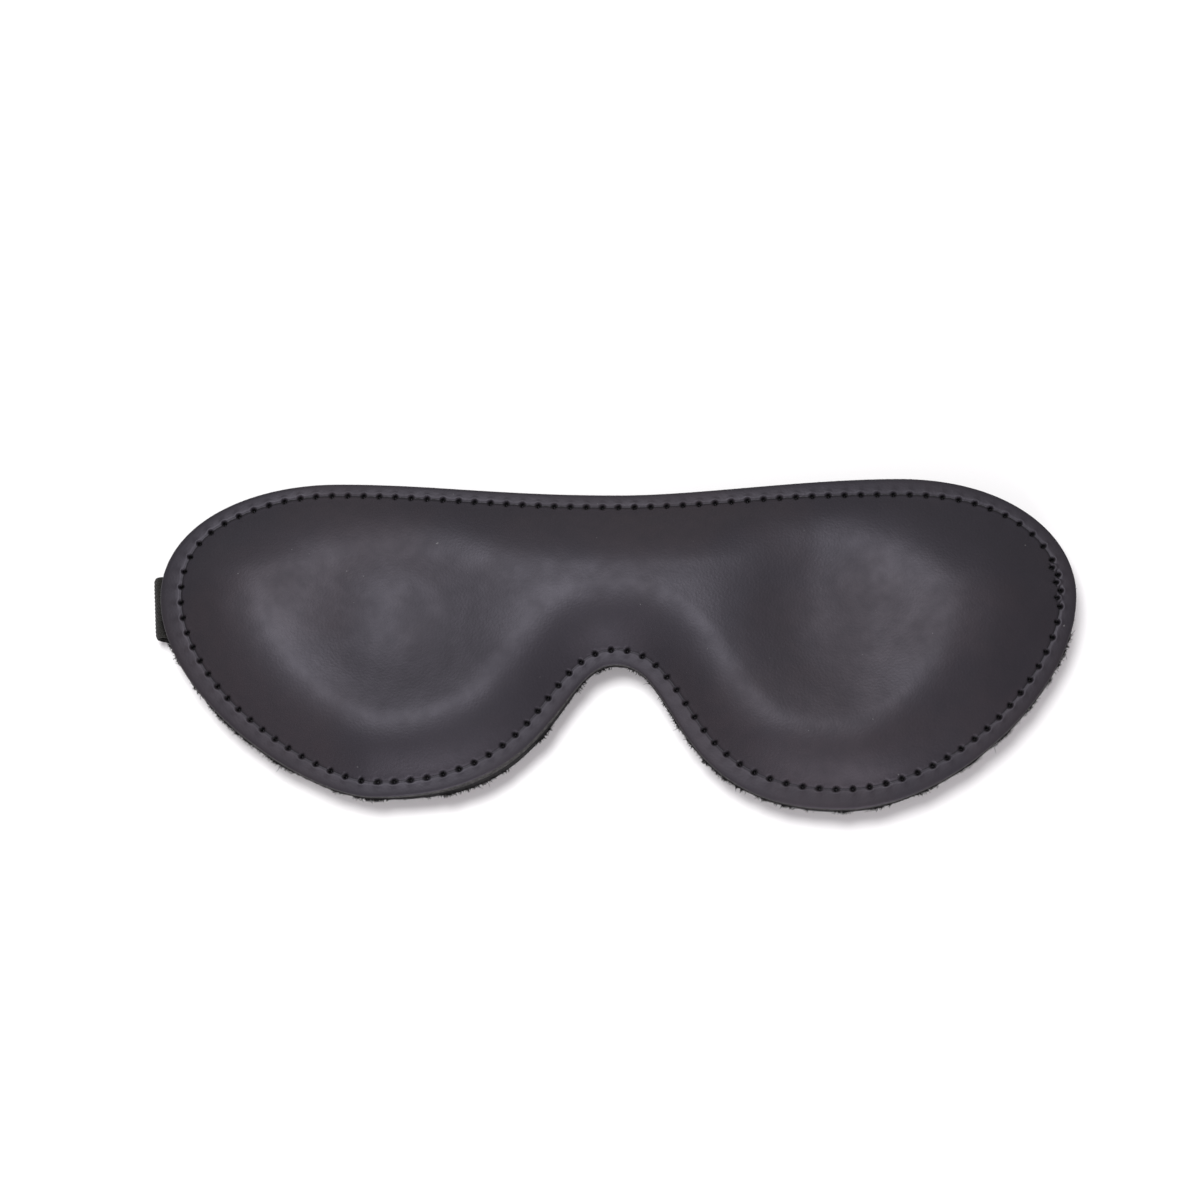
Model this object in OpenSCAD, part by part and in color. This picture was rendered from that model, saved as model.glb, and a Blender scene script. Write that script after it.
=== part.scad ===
// Padded leather eye mask with an elastic strap, lying face up on a table.
// +X runs across both eyes, +Y towards the brow, +Z out of the front of the mask.
// The origin is on the table under the middle of the mask. Millimetres.

/* [Outline] */
// Width of the mask from tip to tip
mask_w = 215; // [206:1:222]
// Height of the mask from cheek to brow
mask_h = 78; // [76:1:84]
// How far the brow dips between its two peaks
brow_dip = 3; // [1:0.5:8]
// Height of the nose notch's top, measured down from the middle of the mask
notch_drop = 5.5; // [4:0.5:9]

/* [Leather] */
// Thickness of the smooth front leather
front_t = 1.4; // [1:0.1:1.6]
// Thickness of the suede lining
lining_t = 1.2; // [0.8:0.1:1.4]
// Distance of the seam from the cut edge
seam_inset = 3.6; // [3:0.1:4]
// Length of one stitch
stitch_pitch = 3.85; // [3:0.05:5]
// Thickness of the sewing thread
thread_d = 0.6; // [0.4:0.1:0.8]

/* [Padding] */
// Height of the padded ring above the rim at the front
front_swell = 8; // [6:0.5:12]
// Height of the rim above the table, which is as far as the padding swells at the back
rim_z = 6.5; // [6:0.1:8]
// Distance between the two eye hollows
eye_span = 96; // [90:1:100]

/* [Strap] */
// Width of the elastic
strap_w = 15; // [12:1:15]
// Thickness of the elastic
strap_t = 1; // [0.8:0.1:1]
// Place of the slider's middle bar along X
slider_x = -40; // [-45:1:-36]
// Place of the ring's middle along X
ring_x = 52; // [48:1:55]

/* [Hidden] */

// Colours of the materials
leather_black = [0.16, 0.15, 0.17];
suede_black = [0.1, 0.1, 0.1];
foam_grey = [0.35, 0.35, 0.37];
thread_black = [0.03, 0.03, 0.03];
elastic_black = [0.07, 0.07, 0.06];
plastic_black = [0.12, 0.12, 0.13];
steel_grey = [0.7, 0.7, 0.72];

// The right half of the outline: four cubic curves, each [start, handle, handle, end]
tip = [mask_w / 2, 12];
brow = [67, mask_h / 2];
dip = [0, mask_h / 2 - brow_dip];
cheek = [54, -mask_h / 2];
notch = [0, -notch_drop];
brow_curve = [dip, dip + [24, 0], brow - [23, 0], brow];
temple_curve = [brow, brow + [24.5, 0], tip + [0, 15.5], tip];
cheek_curve = [cheek, cheek + [21, 0], tip - [0, 23.5], tip];
notch_curve = [notch, notch + [15, 0], cheek - [42, 0], cheek];

// A point on a cubic curve, and the same point moved aside by the distance d
function bezier(c, t) = pow(1 - t, 3) * c[0] + 3 * t * pow(1 - t, 2) * c[1]
    + 3 * t * t * (1 - t) * c[2] + pow(t, 3) * c[3];
function heading(c, t) = let (v = pow(1 - t, 2) * (c[1] - c[0]) + 2 * t * (1 - t) * (c[2] - c[1])
    + t * t * (c[3] - c[2])) v / norm(v);
function aside(c, t, d) = let (h = heading(c, t)) bezier(c, t) + d * [-h.y, h.x];

// Columns run from one tip to the other; each crosses the mask from the cheek side to the brow side
segment_columns = 10;
half_columns = 2 * segment_columns;
function upper_edge(k, d) = k < segment_columns ? aside(brow_curve, k / segment_columns, -d)
    : aside(temple_curve, k / segment_columns - 1, -d);
function lower_edge(k, d) = k < segment_columns ? aside(notch_curve, k / segment_columns, d)
    : aside(cheek_curve, k / segment_columns - 1, d);
function flip(p, k) = k < 0 ? [-p.x, p.y] : p;
function upper(k, d) = flip(upper_edge(abs(k), d), k);
function lower(k, d) = flip(lower_edge(abs(k), d), k);

// Distance from a point to the nearest edge of the outline
edge_steps = 14;
half_edge = [
    for (i = [0 : edge_steps]) bezier(brow_curve, i / edge_steps),
    for (i = [1 : edge_steps]) bezier(temple_curve, i / edge_steps),
    for (i = [1 : edge_steps]) bezier(cheek_curve, 1 - i / edge_steps),
    for (i = [1 : edge_steps]) bezier(notch_curve, 1 - i / edge_steps)
];
function clamp01(u) = min(1, max(0, u));
function to_segment(p, a, b) =
    norm(p - a - clamp01((p - a) * (b - a) / ((b - a) * (b - a))) * (b - a));
function edge_distance(p) = let (q = [abs(p.x), p.y])
    min([for (i = [0 : len(half_edge) - 2]) to_segment(q, half_edge[i], half_edge[i + 1])]);

// The padding: a ring round each eye, joined over the nose and open at the brow
pad_start = 4;
pad_ramp = 24;
pad_power = 2.3;
brow_line = 21;
brow_drop = 0.45;
hollow_y = 2;
hollow_r = [18.5, 20.5];
hollow_tilt = -35;
hollow_power = 2.6;
front_hollow = 0.7;
function smooth01(u) = let (c = clamp01(u)) c * c * (3 - 2 * c);
function rise(d) = 1 - pow(1 - clamp01((d - pad_start) / pad_ramp), pad_power);
function brow_fade(y) = 1 - brow_drop / (1 + exp((brow_line - y) / 4));
function in_hollow(p) = let (
    dx = abs(p.x) - eye_span / 2,
    dy = p.y - hollow_y,
    u = (cos(hollow_tilt) * dx + sin(hollow_tilt) * dy) / hollow_r.x,
    v = (cos(hollow_tilt) * dy - sin(hollow_tilt) * dx) / hollow_r.y
) exp(-pow(norm([u, v]), hollow_power));
function front_rise(p) = front_swell * rise(edge_distance(p)) * brow_fade(p.y)
    * (1 - front_hollow * in_hollow(p));

// At the back the padding is pressed flat on the table, and less deep where the strap passes under it
strap_y = 7;
strap_room = 5;
strap_bed = strap_w / 2 + 5;
bed_fade = 6;
end_x = 78;
back_gain = 1.8;
function beside_strap(p) = smooth01((abs(p.y - strap_y) - strap_bed) / bed_fade);
function over_strap(p) = (rim_z - strap_room) * (1 - smooth01((abs(p.x) - end_x + bed_fade) / bed_fade));
function back_room(p) = let (s = beside_strap(p)) s * rim_z + (1 - s) * over_strap(p);
function back_rise(p) = min(back_room(p), rim_z,
    back_gain * rim_z * rise(edge_distance(p)) * brow_fade(p.y) * (1 - in_hollow(p)));

// The mask's surface as a net of points. Its rows lie at these distances from the edge, then cross the middle.
middle_rows = 10;
sheet_insets = [0, 4.2, 7.5];
foam_insets = [7.5];
function column(k, insets) = let (inner = insets[len(insets) - 1], n = len(insets), a = lower(k, inner),
    b = upper(k, inner)) [
    for (d = insets) lower(k, d),
    for (j = [1 : middle_rows - 1]) a + (b - a) * j / middle_rows,
    for (i = [1 : n]) upper(k, insets[n - i])
];
function tip_point(side, d) = [side * (tip.x - d), tip.y];
function net(insets) = [
    for (k = [1 - half_columns : half_columns - 1]) each column(k, insets),
    for (side = [-1, 1]) for (d = insets) tip_point(side, d)
];

// Faces of one surface of the net: squares between columns, and a fan round the points of each tip
function net_faces(insets) = let (
    n = len(insets),
    rows = 2 * n + middle_rows - 1,
    columns = 2 * half_columns - 1,
    tips = rows * columns
) [
    for (k = [0 : columns - 2]) for (j = [0 : rows - 2])
        each square_faces(k * rows + j, (k + 1) * rows + j, (k + 1) * rows + j + 1, k * rows + j + 1),
    for (side = [0, 1]) each tip_faces(tips + side * n, side * (columns - 1) * rows, rows, n, side)
];
function square_faces(a, b, c, d) = [[a, b, c], [a, c, d]];
function turned(faces, yes) = yes ? [for (f = faces) [f[2], f[1], f[0]]] : faces;
function tip_faces(t, c, rows, n, side) = turned([
    for (i = [0 : n - 2]) each square_faces(t + i, c + i, c + i + 1, t + i + 1),
    for (i = [0 : n - 2]) each square_faces(t + i, t + i + 1, c + rows - 2 - i, c + rows - 1 - i),
    for (j = [n - 1 : rows - n - 1]) [t + n - 1, c + j, c + j + 1]
], side == 1);

// Points of the edge in order round the net, for the wall between two surfaces
function net_edge(insets) = let (
    n = len(insets),
    rows = 2 * n + middle_rows - 1,
    columns = 2 * half_columns - 1,
    tips = rows * columns
) [
    tips,
    for (k = [0 : columns - 1]) k * rows,
    tips + n,
    for (k = [1 : columns]) (columns - k) * rows + rows - 1
];

// A closed sheet between the heights low and high at the points of the net
module sheet(insets, low, high) {
    points = net(insets);
    count = len(points);
    faces = net_faces(insets);
    edge = net_edge(insets);
    last = len(edge) - 1;
    polyhedron(
        points = [
            for (i = [0 : count - 1]) [points[i].x, points[i].y, low[i]],
            for (i = [0 : count - 1]) [points[i].x, points[i].y, high[i]]
        ],
        faces = [
            for (f = faces) f,
            for (f = faces) [f[2] + count, f[1] + count, f[0] + count],
            for (i = [0 : last]) let (a = edge[i], b = edge[i == last ? 0 : i + 1])
                each square_faces(b, a, a + count, b + count)
        ],
        convexity = 6);
}

// Heights of the layers
lining_top = rim_z + lining_t;
front_top = lining_top + front_t;
foam_gap = 0.1;
foam_hole_r = 9;

module front_panel() {
    lift = [for (p = net(sheet_insets)) front_rise(p)];
    color(leather_black)
        sheet(sheet_insets, [for (h = lift) lining_top + h], [for (h = lift) front_top + h]);
}

module back_lining() {
    sink = [for (p = net(sheet_insets)) back_rise(p)];
    color(suede_black)
        sheet(sheet_insets, [for (h = sink) rim_z - h], [for (h = sink) lining_top - h]);
}

module foam_core() {
    points = net(foam_insets);
    color(foam_grey)
        difference() {
            sheet(foam_insets,
                [for (p = points) lining_top - back_rise(p) + foam_gap],
                [for (p = points) lining_top + front_rise(p) - foam_gap]);
            for (side = [-1, 1])
                translate([side * eye_span / 2, hollow_y, 0])
                    cylinder(r = foam_hole_r, h = front_top + front_swell, $fn = 48);
        }
}

// The seam: its line, and its length measured along it
seam_line = [
    for (i = [0 : edge_steps - 1]) aside(brow_curve, i / edge_steps, -seam_inset),
    for (i = [0 : edge_steps - 1]) aside(temple_curve, i / edge_steps, -seam_inset),
    for (i = [0 : edge_steps - 1]) aside(cheek_curve, 1 - i / edge_steps, seam_inset),
    for (i = [0 : edge_steps]) aside(notch_curve, 1 - i / edge_steps, seam_inset)
];
seam_steps = [for (i = [1 : len(seam_line) - 1]) norm(seam_line[i] - seam_line[i - 1])];
function total(list, n) = n <= 0 ? 0 : list[n - 1] + total(list, n - 1);
seam_run = [for (i = [0 : len(seam_line) - 1]) total(seam_steps, i)];
half_seam = seam_run[len(seam_run) - 1];
half_stitches = round(half_seam / stitch_pitch);
seam_x = [for (i = [0 : len(seam_line) - 1]) [seam_run[i], seam_line[i].x]];
seam_y = [for (i = [0 : len(seam_line) - 1]) [seam_run[i], seam_line[i].y]];
function on_seam(i) = let (s = i / half_stitches * half_seam) [lookup(s, seam_x), lookup(s, seam_y)];

// One stitch: a straight run of thread on the leather from a towards b, at the height z
stitch_share = 0.8;
module stitch(a, b, z) {
    along = b - a;
    translate([a.x, a.y, z])
        rotate([0, 90, atan2(along.y, along.x)])
            cylinder(d = thread_d, h = stitch_share * norm(along), $fn = 16);
}

module seam(z) {
    for (i = [0 : half_stitches - 1])
        stitch(on_seam(i), on_seam(i + 1), z);
    for (i = [0 : half_stitches - 1])
        let (a = on_seam(i + 1), b = on_seam(i))
            stitch([-a.x, a.y], [-b.x, b.y], z);
}

module rim_stitches_front() {
    color(thread_black) seam(front_top + thread_d / 3);
}

module rim_stitches_back() {
    color(thread_black) seam(rim_z - thread_d / 3);
}

// A band of elastic follows a line in the X-Z plane: its outline is the line moved to both sides
function band_normal(line, i) = let (
    a = line[max(0, i - 1)],
    b = line[min(len(line) - 1, i + 1)],
    v = (b - a) / norm(b - a)
) [-v.y, v.x];
function band_outline(line) = [
    for (i = [0 : len(line) - 1]) line[i] + strap_t / 2 * band_normal(line, i),
    for (i = [1 : len(line)]) let (j = len(line) - i) line[j] - strap_t / 2 * band_normal(line, j)
];
module band(line) {
    translate([0, strap_y + strap_w / 2, 0])
        rotate([90, 0, 0])
            linear_extrude(height = strap_w)
                polygon(band_outline(line));
}

// Pieces of such a line: a turn round a centre, and a soft slope between two points
function turn_line(centre, r, from, to) = let (steps = 12)
    [for (i = [0 : steps]) let (a = from + (to - from) * i / steps) centre + r * [cos(a), sin(a)]];
function slope_line(a, b) = let (steps = 8)
    [for (i = [0 : steps]) let (u = i / steps) [a.x + (b.x - a.x) * u, a.y + (b.y - a.y) * smooth01(u)]];

// Heights of the strap's layers above the table
gap = 0.05;
low_z = strap_t / 2;
second_z = low_z + strap_t + 2 * gap;
end_z = rim_z - gap - strap_t / 2;

// The strap's ends: sewn to the lining, then folded under the mask
fold_r = (end_z - low_z) / 2;
left_fold_x = -(mask_w / 2 + 2.2);
right_fold_x = mask_w / 2 - 3.5;
end_length = 14;
left_cut_x = left_fold_x + 8;
right_cut_x = right_fold_x - 8;
function end_line(fold_x, side, cut_x) = let (cx = fold_x - side * (strap_t / 2 + fold_r)) [
    [cx - side * end_length, end_z],
    each turn_line([cx, (end_z + low_z) / 2], fold_r, 90, 90 - side * 180),
    [cut_x, low_z]
];
module strap_end_left() {
    color(elastic_black) band(end_line(left_fold_x, -1, left_cut_x));
}
module strap_end_right() {
    color(elastic_black) band(end_line(right_fold_x, 1, right_cut_x));
}

// A bar tack: a dense row of thread across the strap
tack_l = 2;
tack_w = strap_w - 3;
module tack(x, z0, z1) {
    color(thread_black)
        translate([x - tack_l / 2, strap_y - tack_w / 2, z0])
            cube([tack_l, tack_w, z1 - z0]);
}
tack_cover = 0.2;
module end_tack_left() {
    tack(left_fold_x + 13, end_z - strap_t / 2 - tack_cover, lining_top - gap);
}
module end_tack_right() {
    tack(right_fold_x - 13, end_z - strap_t / 2 - tack_cover, lining_top - gap);
}

// The ring: a rounded oblong of wire that joins the two elastics
wire_d = 1.6;
ring_inner = [5, strap_w + 2];
ring_corner = 1;
ring_z = strap_t + gap + wire_d / 2;
ring_bar = ring_inner.x / 2 + wire_d / 2;
module ring() {
    reach = [ring_inner.x / 2 - ring_corner, ring_inner.y / 2 - ring_corner];
    bend = ring_corner + wire_d / 2;
    color(steel_grey)
        translate([ring_x, strap_y, ring_z]) {
            for (s = [-1, 1]) {
                translate([s * ring_bar, -reach.y, 0])
                    rotate([-90, 0, 0]) cylinder(d = wire_d, h = 2 * reach.y, $fn = 32);
                translate([-reach.x, s * (reach.y + bend), 0])
                    rotate([0, 90, 0]) cylinder(d = wire_d, h = 2 * reach.x, $fn = 32);
            }
            for (a = [0 : 3])
                translate([(a == 0 || a == 3 ? 1 : -1) * reach.x, (a < 2 ? 1 : -1) * reach.y, 0])
                    rotate([0, 0, 90 * a])
                        rotate_extrude(angle = 90, $fn = 48)
                            translate([bend, 0]) circle(d = wire_d, $fn = 32);
        }
}

// The slider: two rails, two outer bars low down and a middle bar that the strap's end is sewn round
bar_t = 1.2;
outer_bar_z = 0.4;
outer_bar_w = 2.2;
outer_bar_x = 7;
middle_bar_w = 2.4;
middle_bar_z = 2 * strap_t + 2 * gap;
rail_w = 2;
slider_inner = strap_w + 1;
slider_h = middle_bar_z + bar_t;
module slider() {
    half_l = outer_bar_x + outer_bar_w / 2;
    color(plastic_black)
        translate([slider_x, strap_y, 0])
            union() {
                for (s = [-1, 1]) {
                    translate([-half_l, s * (slider_inner + rail_w) / 2 - rail_w / 2, outer_bar_z])
                        cube([2 * half_l, rail_w, slider_h - outer_bar_z]);
                    translate([s * outer_bar_x - outer_bar_w / 2, -slider_inner / 2 - 1, outer_bar_z])
                        cube([outer_bar_w, slider_inner + 2, bar_t]);
                }
                middle_bar();
            }
}

// The middle bar has round edges, for the loop of elastic
module middle_bar() {
    bar_l = slider_inner + 2;
    flat_half = (middle_bar_w - bar_t) / 2;
    translate([-flat_half, -bar_l / 2, middle_bar_z])
        cube([2 * flat_half, bar_l, bar_t]);
    for (s = [-1, 1])
        translate([s * flat_half, -bar_l / 2, middle_bar_z + bar_t / 2])
            rotate([-90, 0, 0]) cylinder(d = bar_t, h = bar_l, $fn = 32);
}

// Where the strap passes the slider: over the outer bars, under the middle one
over_bar_z = outer_bar_z + bar_t + gap + strap_t / 2;
under_bar_z = low_z;
loop_r = (bar_t + strap_t) / 2 + gap;
loop_z = middle_bar_z + bar_t / 2;
wave_reach = 13;
bar_half = outer_bar_w / 2;
loop_half = middle_bar_w / 2 + strap_t;

// Where it turns round the ring, two layers come together beside it
ring_turn_r = (wire_d + strap_t) / 2 + gap;
ring_reach = 8;

long_line = [
    [left_cut_x, low_z],
    each slope_line([slider_x - wave_reach, low_z], [slider_x - outer_bar_x - bar_half, over_bar_z]),
    each slope_line([slider_x - outer_bar_x + bar_half, over_bar_z], [slider_x - loop_half, under_bar_z]),
    each slope_line([slider_x + loop_half, under_bar_z], [slider_x + outer_bar_x - bar_half, over_bar_z]),
    each slope_line([slider_x + outer_bar_x + bar_half, over_bar_z], [slider_x + wave_reach, low_z]),
    each turn_line([ring_x - ring_bar, ring_z], ring_turn_r, -90, 90),
    each slope_line([ring_x - ring_bar - 1, ring_z + ring_turn_r], [ring_x - ring_bar - ring_reach, second_z]),
    each slope_line([slider_x + wave_reach + 1, second_z],
        [slider_x + outer_bar_x + bar_half, over_bar_z + strap_t + 2 * gap]),
    each slope_line([slider_x + outer_bar_x - bar_half, over_bar_z + strap_t + 2 * gap],
        [slider_x + loop_half, loop_z + loop_r]),
    each turn_line([slider_x - middle_bar_w / 2 + bar_t / 2, loop_z], loop_r, 90, 270),
    [slider_x + middle_bar_w / 2, loop_z - loop_r]
];
module long_strap() {
    color(elastic_black) band(long_line);
}

short_end = 14;
short_line = [
    [right_cut_x, low_z],
    each turn_line([ring_x + ring_bar, ring_z], ring_turn_r, 270, 90),
    each slope_line([ring_x + ring_bar + 1, ring_z + ring_turn_r], [ring_x + ring_bar + ring_reach, second_z]),
    [ring_x + ring_bar + short_end, second_z]
];
module short_strap() {
    color(elastic_black) band(short_line);
}

module ring_tack() {
    tack(ring_x + ring_bar + short_end - 3, 0, second_z + strap_t / 2 + tack_cover);
}

module slider_tack() {
    top = over_bar_z + strap_t + 2 * gap + strap_t / 2;
    tack(slider_x + outer_bar_x, top + gap, top + gap + 2 * tack_cover);
}

front_panel();
foam_core();
back_lining();
rim_stitches_front();
rim_stitches_back();
strap_end_left();
strap_end_right();
end_tack_left();
end_tack_right();
long_strap();
short_strap();
ring();
ring_tack();
slider();
slider_tack();
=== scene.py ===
"""The padded leather eye mask: leather, suede, foam, thread, elastic and hardware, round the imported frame.

The mask lies face up on a pale floor. +X runs across both eyes, +Y to the brow and +Z out of the front.
Shapes are worked out in millimetres and put into Blender in metres.
"""

import math

import bmesh
import bpy
import numpy as np
from mathutils import Matrix, Vector, noise


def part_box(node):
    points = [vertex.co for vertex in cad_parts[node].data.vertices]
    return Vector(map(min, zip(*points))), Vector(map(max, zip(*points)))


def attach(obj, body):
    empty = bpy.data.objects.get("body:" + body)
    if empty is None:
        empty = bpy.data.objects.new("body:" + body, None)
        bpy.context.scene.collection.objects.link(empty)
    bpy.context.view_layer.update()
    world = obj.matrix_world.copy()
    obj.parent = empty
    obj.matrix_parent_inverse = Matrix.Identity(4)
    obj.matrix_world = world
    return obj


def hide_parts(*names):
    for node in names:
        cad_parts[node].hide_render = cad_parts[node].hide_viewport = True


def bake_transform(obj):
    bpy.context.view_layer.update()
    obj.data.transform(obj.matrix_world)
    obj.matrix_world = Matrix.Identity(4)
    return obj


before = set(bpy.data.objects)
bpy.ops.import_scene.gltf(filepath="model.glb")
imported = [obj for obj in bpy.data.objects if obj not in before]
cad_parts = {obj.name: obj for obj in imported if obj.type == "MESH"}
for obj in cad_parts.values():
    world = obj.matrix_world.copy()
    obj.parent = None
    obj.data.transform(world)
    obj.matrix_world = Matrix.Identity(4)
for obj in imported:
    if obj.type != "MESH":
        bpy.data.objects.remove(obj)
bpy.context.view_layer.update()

MM = 0.001


def node_box(node):
    """A CAD node's lowest and highest corners, in millimetres."""
    low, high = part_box(node)
    return np.array(low) / MM, np.array(high) / MM


# ---------------------------------------------------------------- sizes
panel_low, panel_high = node_box("front_panel")
ring_low, ring_high = node_box("ring")
slider_low, slider_high = node_box("slider")
left_low, left_high = node_box("strap_end_left")
right_high = node_box("strap_end_right")[1]

HALF_W = (panel_high[0] - panel_low[0]) / 2
BROW_Y = panel_high[1]
CHEEK_Y = panel_low[1]
FRONT_T = 1.4
LINING_T = 1.2
MIDDLE_Z = panel_low[2]  # where the leather and the lining meet at the rim
RIM_Z = MIDDLE_Z - LINING_T
FRONT_Z = MIDDLE_Z + FRONT_T
STITCH = 3.85
THREAD_D = 0.34
TIP_Y = 12
DIP = (0, BROW_Y - 3.1)  # the middle of the brow
NOTCH = (0, -5.6)  # the top of the nose notch


# ---------------------------------------------------------------- small maths
def smooth01(u):
    u = np.clip(u, 0, 1)
    return u * u * (3 - 2 * u)


def soft_min(a, b, width):
    """The smaller of a and b, rounded over where they are closer than width."""
    return np.minimum(a, b) - np.maximum(width - np.abs(a - b), 0) ** 2 / (4 * width)


def soft_ramp(u, width):
    """0 below 0 and u above it, rounded over about width."""
    return width * np.logaddexp(0, u / width)


def bump_at(u, centre, width):
    return np.exp(-(((u - centre) / width) ** 2))


def left_of(headings):
    return np.stack([-headings[:, 1], headings[:, 0]], axis=1)


def bezier(curve, t):
    t = np.asarray(t, float)[:, None]
    s = 1 - t
    return s**3 * curve[0] + 3 * t * s**2 * curve[1] + 3 * t * t * s * curve[2] + t**3 * curve[3]


def aside(curve, t, d):
    """Points of a curve moved to its left by d."""
    u = np.asarray(t, float)[:, None]
    s = 1 - u
    heading = s**2 * (curve[1] - curve[0]) + 2 * u * s * (curve[2] - curve[1]) + u * u * (curve[3] - curve[2])
    heading /= np.linalg.norm(heading, axis=1)[:, None]
    return bezier(curve, t) + np.asarray(d, float).reshape(-1, 1) * left_of(heading)


AT_A_TIME = 8000  # points measured together, so that the arrays stay small


def distance_to_line(points, line):
    """The distance of each point from an open line of points."""
    a, v = line[:-1], np.diff(line, axis=0)
    best = np.empty(len(points))
    for start in range(0, len(points), AT_A_TIME):
        some = slice(start, start + AT_A_TIME)
        p = points[some, None] - a
        t = np.clip((p * v).sum(2) / (v * v).sum(1), 0, 1)
        best[some] = np.sqrt(((p - t[..., None] * v) ** 2).sum(2)).min(1)
    return best


SEED_STEP = 7.3  # how far apart the noises of two seeds are taken


def rough(points, scale, seed):
    """Smooth noise from -1 to 1 at the points; scale is the size of its lumps in millimetres."""
    places = np.column_stack([points / scale, np.full(len(points), seed * SEED_STEP)])
    return np.array([noise.noise(Vector(place)) for place in places])


# ---------------------------------------------------------------- the outline
class Half:
    """One half of the mask's outline, drawn as if on the right. Its upper and lower edges are two cubic
    curves each, from the middle of the mask (u = 0) to the tip (u = 2). reach is how far the curves' handles
    reach. The seam's distance from the edge is given at u = 0, 0.5, 1, 1.5 and 2. The two halves differ a
    little, because the mask was cut and sewn by hand."""

    def __init__(self, brow, cheek, tip_x, reach, seam_upper, seam_lower):
        brow, cheek, tip = np.array(brow, float), np.array(cheek, float), np.array((tip_x, TIP_Y), float)
        dip, notch = np.array(DIP, float), np.array(NOTCH, float)
        along, up = np.array((1.0, 0)), np.array((0, 1.0))
        handle = {at: length * (up if at.startswith("tip") else along) for at, length in reach.items()}
        self.curves = {
            "upper": (
                np.array([dip, dip + handle["over_nose"], brow - handle["over_eye"], brow]),
                np.array([brow, brow + handle["temple"], tip + handle["tip_up"], tip]),
            ),
            "lower": (
                np.array([notch, notch + handle["beside_nose"], cheek - handle["cheek_in"], cheek]),
                np.array([cheek, cheek + handle["cheek_out"], tip - handle["tip_down"], tip]),
            ),
        }
        self.turn = {"upper": -1, "lower": 1}
        self.seam_insets = {"upper": seam_upper, "lower": seam_lower}
        self.tip_x = tip_x

    def edge(self, which, u, d):
        """Points of an edge, d inside it."""
        first, second = self.curves[which]
        d = np.broadcast_to(np.asarray(d, float), u.shape) * self.turn[which]
        near = u < 1
        points = np.empty((len(u), 2))
        points[near] = aside(first, u[near], d[near])
        points[~near] = aside(second, u[~near] - 1, d[~near])
        return points

    def seam(self, which, u):
        """How far the seam is inside the edge."""
        insets = np.array(self.seam_insets[which])
        k = np.clip((np.asarray(u) * 2).astype(int), 0, len(insets) - 2)
        return insets[k] + (insets[k + 1] - insets[k]) * smooth01(np.asarray(u) * 2 - k)


RIGHT = Half(
    brow=(66.6, BROW_Y + 1),
    cheek=(52, CHEEK_Y - 0.5),
    tip_x=HALF_W - 0.3,
    reach={
        "over_nose": 19, "over_eye": 22.5, "temple": 25.5, "tip_up": 14.5,
        "tip_down": 22.5, "cheek_out": 25.5, "cheek_in": 40.5, "beside_nose": 15.5,
    },
    seam_upper=(3.2, 3.4, 4.1, 3.4, 3.7),
    seam_lower=(3.5, 4.1, 4.6, 3.6, 3.7),
)
LEFT = Half(
    brow=(67.6, BROW_Y - 0.3),
    cheek=(55.8, CHEEK_Y + 1.6),
    tip_x=HALF_W + 1.8,
    reach={
        "over_nose": 29, "over_eye": 23, "temple": 23.5, "tip_up": 16,
        "tip_down": 24.5, "cheek_out": 16.5, "cheek_in": 43, "beside_nose": 14,
    },
    seam_upper=(3.2, 3.1, 3.0, 3.6, 5.2),
    seam_lower=(3.5, 3.7, 3.5, 4.0, 5.2),
)
STEPS = np.linspace(0, 2, 101)
MIRROR = np.array((-1.0, 1.0))


def whole_line(which, share):
    """The upper or lower edge from tip to tip, moved in by a share of the seam's distance."""
    left = LEFT.edge(which, STEPS, LEFT.seam(which, STEPS) * share) * MIRROR
    right = RIGHT.edge(which, STEPS, RIGHT.seam(which, STEPS) * share)
    return np.vstack([left[::-1], right[1:]])


def whole_loop(share):
    """The whole way round, from the middle of the brow over the right tip."""
    upper, lower = whole_line("upper", share), whole_line("lower", share)
    middle = len(STEPS) - 1
    return np.vstack([upper[middle:], lower[-2::-1], upper[1 : middle + 1]])


UPPER_SEAM, LOWER_SEAM = whole_line("upper", 1), whole_line("lower", 1)


# ---------------------------------------------------------------- the seam
LOOK_AHEAD = 0.2  # how far ahead of a point its heading is taken


def spaced(line, count):
    """count points evenly along a line, and its heading at each."""
    run = np.concatenate([[0], np.cumsum(np.linalg.norm(np.diff(line, axis=0), axis=1))])

    def points_at(where):
        return np.column_stack([np.interp(where, run, line[:, k]) for k in range(line.shape[1])])

    at = np.arange(count) / count * run[-1]
    points = points_at(at)
    heading = points_at((at + LOOK_AHEAD) % run[-1]) - points
    return points, heading / np.linalg.norm(heading, axis=1)[:, None]


SEAM = whole_loop(1)
SEAM_LENGTH = np.linalg.norm(np.diff(SEAM, axis=0), axis=1).sum()
HOLES, HOLE_HEADINGS = spaced(SEAM, round(SEAM_LENGTH / STITCH))

# The seam starts and ends beside the right tip, where it is sewn over itself for a few stitches
LAP_STITCHES = 3
LAP_AT = (HALF_W - 5.5, 21)
LAP_SIDE = 0.9  # how far inside the first stitches the second ones are
LAP_SHIFT = 0.45  # how far along they are, as a share of a stitch
lap_start = int(np.argmin(np.linalg.norm(HOLES - LAP_AT, axis=1)))
lap = np.arange(lap_start, lap_start + LAP_STITCHES)
LAP_HOLES = HOLES[lap] + HOLE_HEADINGS[lap] * LAP_SHIFT * STITCH - left_of(HOLE_HEADINGS[lap]) * LAP_SIDE
ALL_HOLES = np.vstack([HOLES, LAP_HOLES])
ALL_HEADINGS = np.vstack([HOLE_HEADINGS, HOLE_HEADINGS[lap]])


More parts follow.
